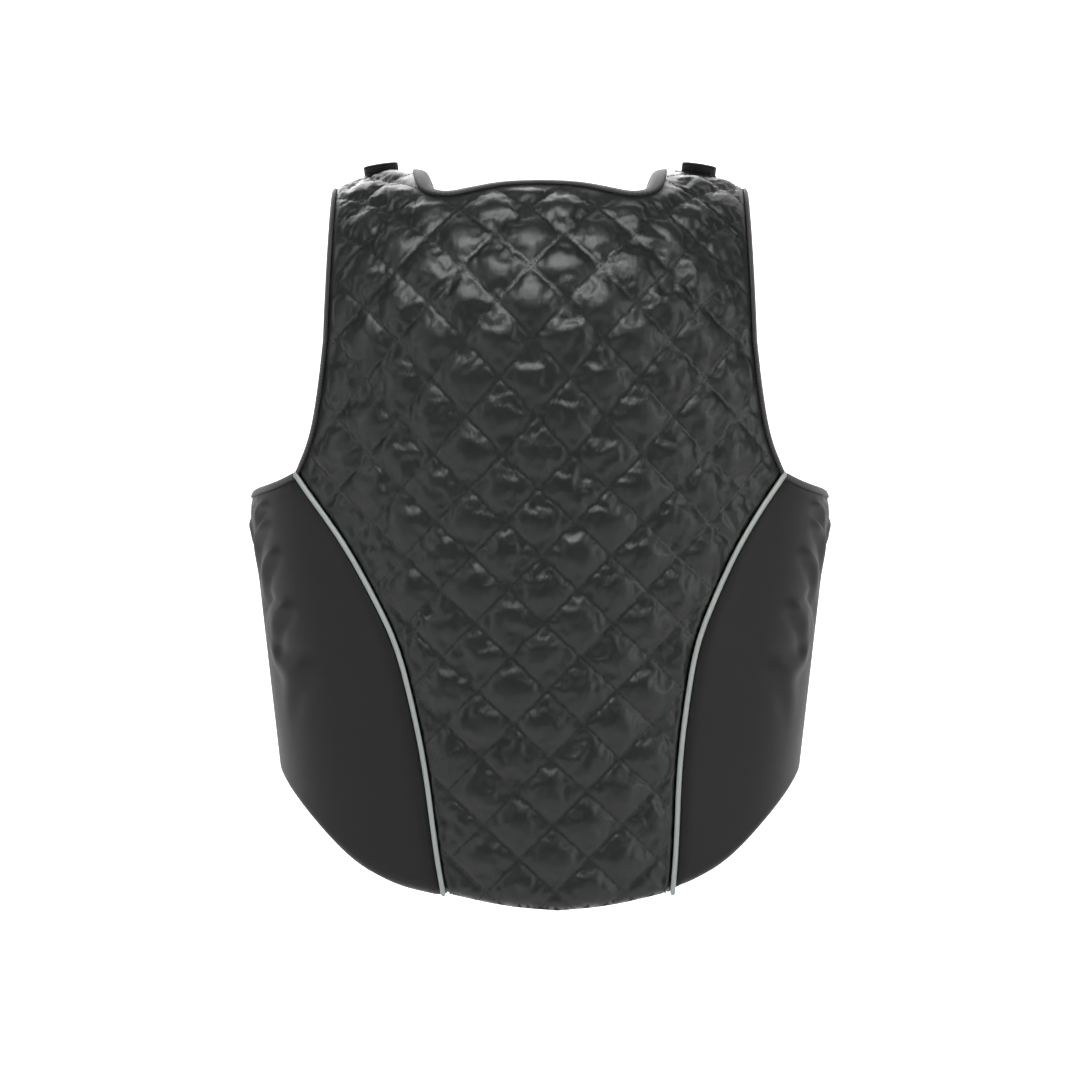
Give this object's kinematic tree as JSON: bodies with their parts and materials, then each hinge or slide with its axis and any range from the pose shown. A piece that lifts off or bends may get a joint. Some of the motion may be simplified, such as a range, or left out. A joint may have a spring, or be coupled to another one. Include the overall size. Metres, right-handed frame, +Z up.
{
  "type": "body protector vest",
  "caption": "Sleeveless zip-front padded body protector vest with diamond-quilted back, plain side panels, reflective piping and shoulder straps.",
  "frame": {"origin": "midway between the two shoulder rests, level with the top of the vest's inner surface", "axes": "+Z up, the wearer faces -Y, the wearer's left is +X"},
  "size_m": [0.4396, 0.2722, 0.5565],
  "materials": {
    "quilted_nylon": "diamond-quilted satin nylon, greenish black",
    "plain_nylon": "plain matt nylon, warm black",
    "foam": "closed-cell foam, charcoal",
    "mesh_lining": "knitted mesh, black",
    "reflective_piping": "silver-grey reflective corded piping",
    "binding_tape": "ribbed binding tape, dark warm grey",
    "hook_and_loop": "hook-and-loop tape, black",
    "label_tape": "blank woven satin label, off-white",
    "strap_webbing": "woven strap, black",
    "zip_tape": "woven zip tape, black",
    "zip_coil": "moulded zip coil, black",
    "zip_metal": "zinc die casting, black enamelled"
  },
  "bodies": {
    "back": {"back_quilted_shell": "quilted_nylon", "back_foam_core": "foam", "back_lining": "mesh_lining", "back_neck_binding": "binding_tape", "back_side_shell_left": "plain_nylon", "back_side_foam_left": "foam", "back_side_lining_left": "mesh_lining", "back_piping_left": "reflective_piping", "back_armhole_binding_left": "binding_tape", "shoulder_patch_left": "hook_and_loop", "back_side_shell_right": "plain_nylon", "back_side_foam_right": "foam", "back_side_lining_right": "mesh_lining", "back_piping_right": "reflective_piping", "back_armhole_binding_right": "binding_tape", "shoulder_patch_right": "hook_and_loop", "care_label": "label_tape", "hanger_loop": "binding_tape"},
    "front_left": {"front_quilted_shell_left": "quilted_nylon", "front_foam_core_left": "foam", "front_lining_left": "mesh_lining", "front_side_shell_left": "plain_nylon", "front_side_foam_left": "foam", "front_side_lining_left": "mesh_lining", "front_piping_left": "reflective_piping", "front_armhole_binding_left": "binding_tape", "front_neck_binding_left": "binding_tape", "zip_tape_left": "zip_tape", "zip_coil_left": "zip_coil", "zip_top_stop_left": "zip_metal", "strap_base_left": "strap_webbing", "zip_insertion_pin": "zip_metal"},
    "front_right": {"front_quilted_shell_right": "quilted_nylon", "front_foam_core_right": "foam", "front_lining_right": "mesh_lining", "front_side_shell_right": "plain_nylon", "front_side_foam_right": "foam", "front_side_lining_right": "mesh_lining", "front_piping_right": "reflective_piping", "front_armhole_binding_right": "binding_tape", "front_neck_binding_right": "binding_tape", "zip_tape_right": "zip_tape", "zip_coil_right": "zip_coil", "zip_top_stop_right": "zip_metal", "strap_base_right": "strap_webbing", "zip_retainer_box": "zip_metal"},
    "slider": {"zip_slider": "zip_metal"},
    "puller": {"zip_puller": "zip_metal"},
    "strap_left": {"shoulder_strap_left": "strap_webbing", "hook_pad_left": "hook_and_loop"},
    "strap_right": {"shoulder_strap_right": "strap_webbing", "hook_pad_right": "hook_and_loop"}
  },
  "joints": [
    {"name": "front_left_open", "type": "hinge", "parent": "back", "child": "front_left", "pos_m": [0.219, 0, -0.233], "axis": [0.1142, 0, 0.9935], "range_deg": [0, 100]},
    {"name": "front_right_open", "type": "hinge", "parent": "back", "child": "front_right", "pos_m": [-0.219, 0, -0.233], "axis": [0.1142, 0, -0.9935], "range_deg": [0, 100]},
    {"name": "zip_slide", "type": "slide", "parent": "front_left", "child": "slider", "axis": [0, 0.04, -0.9992], "range_m": [0, 0.312]},
    {"name": "puller_flip", "type": "hinge", "parent": "slider", "child": "puller", "pos_m": [0, -0.13711, -0.12731], "axis": [-1, 0, 0], "range_deg": [0, 160]},
    {"name": "strap_left_peel", "type": "hinge", "parent": "front_left", "child": "strap_left", "pos_m": [0.1175, -0.06263, -0.00417], "axis": [0.9436, 0, -0.331], "range_deg": [0, 110]},
    {"name": "strap_right_peel", "type": "hinge", "parent": "front_right", "child": "strap_right", "pos_m": [-0.1175, -0.06263, -0.00417], "axis": [0.9436, 0, 0.331], "range_deg": [0, 110]}
  ]
}
